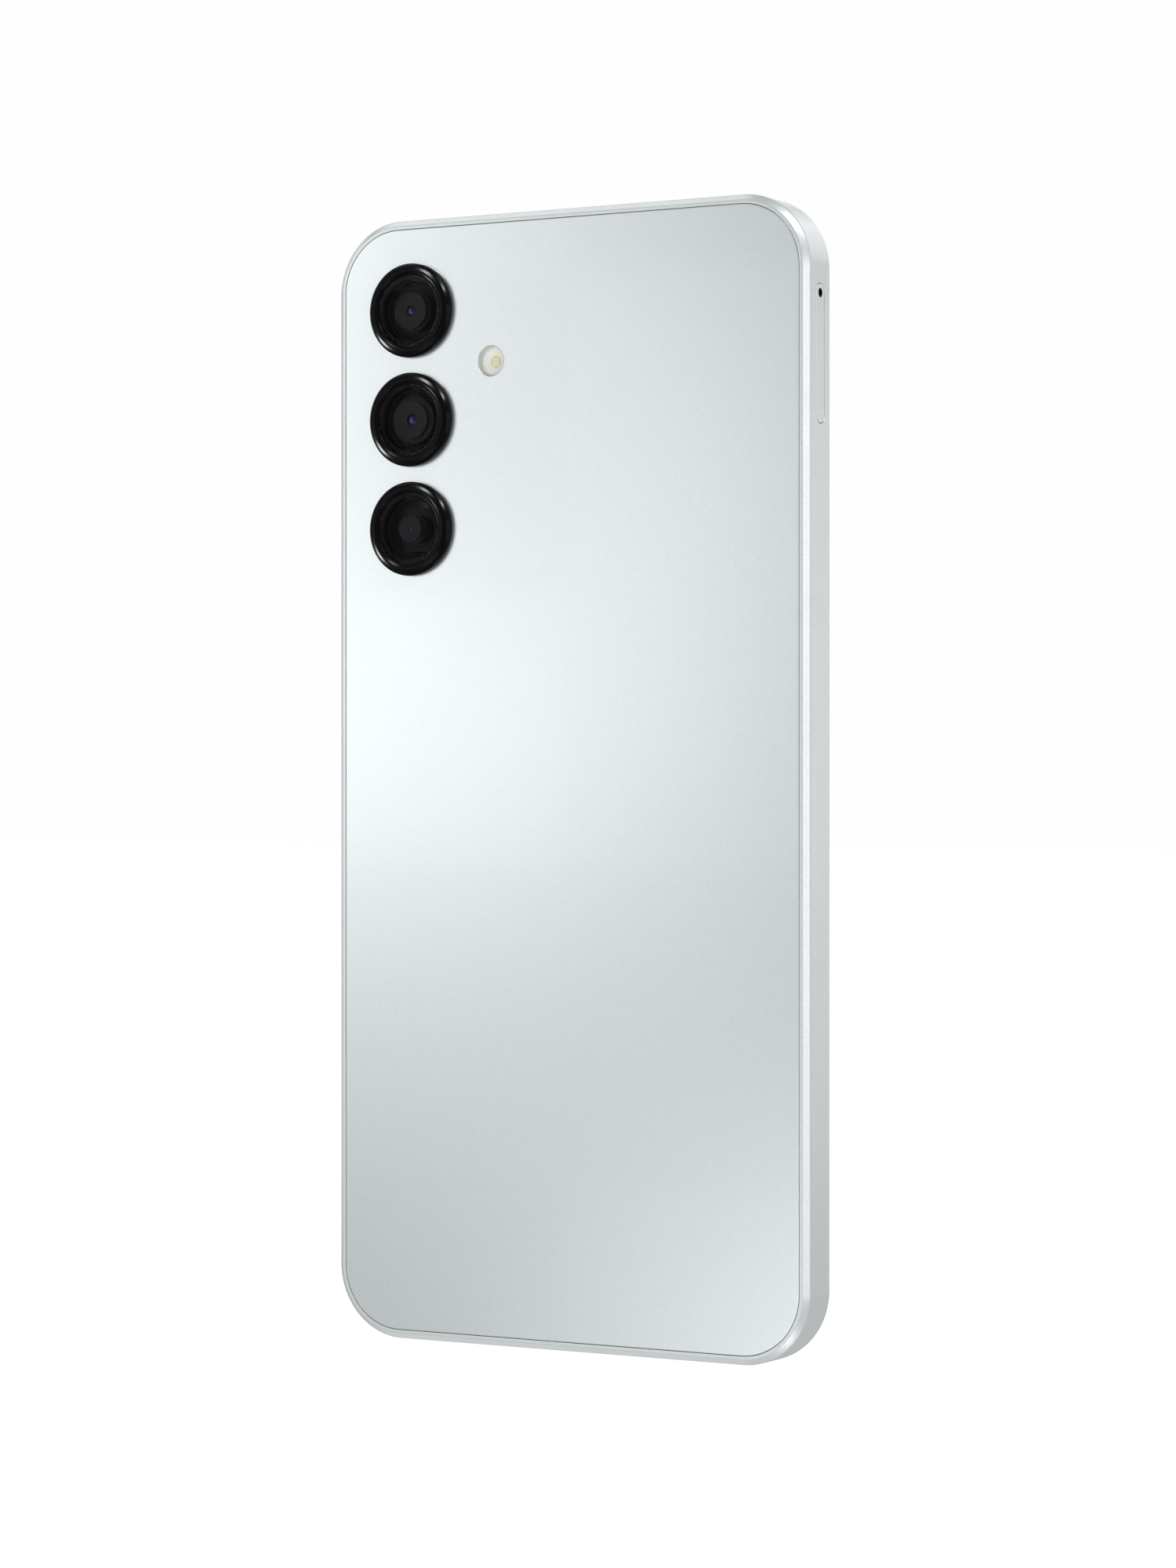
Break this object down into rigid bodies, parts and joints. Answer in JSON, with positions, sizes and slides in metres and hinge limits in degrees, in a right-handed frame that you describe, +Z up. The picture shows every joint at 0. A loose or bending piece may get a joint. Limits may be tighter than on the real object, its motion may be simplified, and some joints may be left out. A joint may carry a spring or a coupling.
{
  "type": "smartphone",
  "caption": "Slab smartphone with a raised column of camera rings, a flash window, side keys, a pull-out card tray and its inner parts.",
  "frame": {"origin": "bottom centre of the phone, standing on its bottom edge, midway through its depth with the lens rings", "axes": "+Z up to the top edge, +Y out of the display, -Y out of the rear cover, +X towards the card tray's side"},
  "size_m": [0.0785, 0.0092, 0.1644],
  "materials": {
    "frame_finish": "satin metallic paint over moulded plastic",
    "cover_finish": "glossy pearl silver",
    "ring_black": "black anodised, satin",
    "lens_glass": "polished, black printed on the inner face",
    "flash_window": "clear, fine ribs inside",
    "flash_lamp": "yellow phosphor",
    "display_glass": "polished, dark when off",
    "display_panel": "dark, smooth",
    "black_plastic": "moulded, fine grain",
    "black_tape": "matt adhesive foam",
    "seal_rubber": "matt",
    "flex": "polyimide film over copper",
    "board": "solder mask over glass fibre",
    "cast_plate": "die cast",
    "battery_pouch": "laminated foil with printed film",
    "tin": "tinned sheet",
    "steel": "stamped and turned steel",
    "dark_mesh": "dark woven mesh"
  },
  "bodies": {
    "phone_body": {"battery": "battery_pouch", "bottom_microphone": "tin", "coax_cable": "black_plastic", "display_flex": "flex", "display_glass": "display_glass", "display_panel": "display_panel", "display_tape": "black_tape", "earpiece_mesh": "dark_mesh", "earpiece_receiver": "black_plastic", "flash_led": "flash_lamp", "flash_window": "flash_window", "front_camera": "black_plastic", "key_switch_board": "flex", "lens_glass_macro": "lens_glass", "lens_glass_main": "lens_glass", "lens_glass_ultrawide": "lens_glass", "lens_ring_macro": "ring_black", "lens_ring_main": "ring_black", "lens_ring_ultrawide": "ring_black", "lever_pin": "steel", "lower_bracket": "black_plastic", "lower_screw_1": "steel", "lower_screw_2": "steel", "lower_screw_3": "steel", "macro_camera": "black_plastic", "main_board": "board", "main_camera_housing": "black_plastic", "main_flex": "flex", "mid_plate": "cast_plate", "motor_base": "steel", "motor_case": "steel", "power_switch_dome": "steel", "processor_shield": "tin", "rear_cover": "cover_finish", "rear_cover_tape": "black_tape", "side_frame": "frame_finish", "sim_socket": "steel", "speaker_box": "black_plastic", "speaker_driver": "dark_mesh", "speaker_mesh": "dark_mesh", "sub_board": "board", "top_microphone": "tin", "ultrawide_camera": "black_plastic", "upper_bracket": "black_plastic", "upper_screw_1": "steel", "upper_screw_2": "steel", "upper_screw_3": "steel", "upper_screw_4": "steel", "usb_shell": "steel", "usb_tongue": "black_plastic", "volume_down_dome": "steel", "volume_up_dome": "steel"},
    "power_key": {"power_key": "frame_finish"},
    "volume_key": {"volume_key": "frame_finish"},
    "card_tray": {"sim_tray": "frame_finish", "tray_seal": "seal_rubber"},
    "eject_rod": {"eject_rod": "steel"},
    "eject_lever": {"eject_lever": "steel"},
    "vibration_rotor": {"vibration_rotor": "steel"},
    "focus_barrel": {"main_camera_barrel": "black_plastic"}
  },
  "joints": [
    {"name": "power_key_press", "type": "slide", "parent": "phone_body", "child": "power_key", "axis": [1, 0, 0], "range_m": [0, 0.00025], "stiffness_N_per_m": 800},
    {"name": "volume_key_rock", "type": "hinge", "parent": "phone_body", "child": "volume_key", "pos_m": [-0.0367, 0.00068, 0.128], "axis": [0, 1, 0], "range_deg": [-1.6, 1.6], "stiffness_Nm_per_rad": 0.05},
    {"name": "card_tray_slide", "type": "slide", "parent": "phone_body", "child": "card_tray", "axis": [1, 0, 0], "range_m": [0, 0.0265]},
    {"name": "eject_rod_push", "type": "slide", "parent": "phone_body", "child": "eject_rod", "axis": [-1, 0, 0], "range_m": [0, 0.001]},
    {"name": "eject_lever_turn", "type": "hinge", "parent": "phone_body", "child": "eject_lever", "pos_m": [0.00935, 0.00068, 0.1462], "axis": [0, -1, 0], "range_deg": [0, 14]},
    {"name": "vibration_rotor_spin", "type": "hinge", "parent": "phone_body", "child": "vibration_rotor", "pos_m": [0.024, 0.00017, 0.0155], "axis": [0, 1, 0], "continuous": true},
    {"name": "focus_barrel_slide", "type": "slide", "parent": "phone_body", "child": "focus_barrel", "axis": [0, -1, 0], "range_m": [0, 0.0003], "stiffness_N_per_m": 300}
  ],
  "couplings": [
    {"joint": "eject_lever_turn", "follows": "eject_rod_push", "rad_per_m": 240}
  ]
}
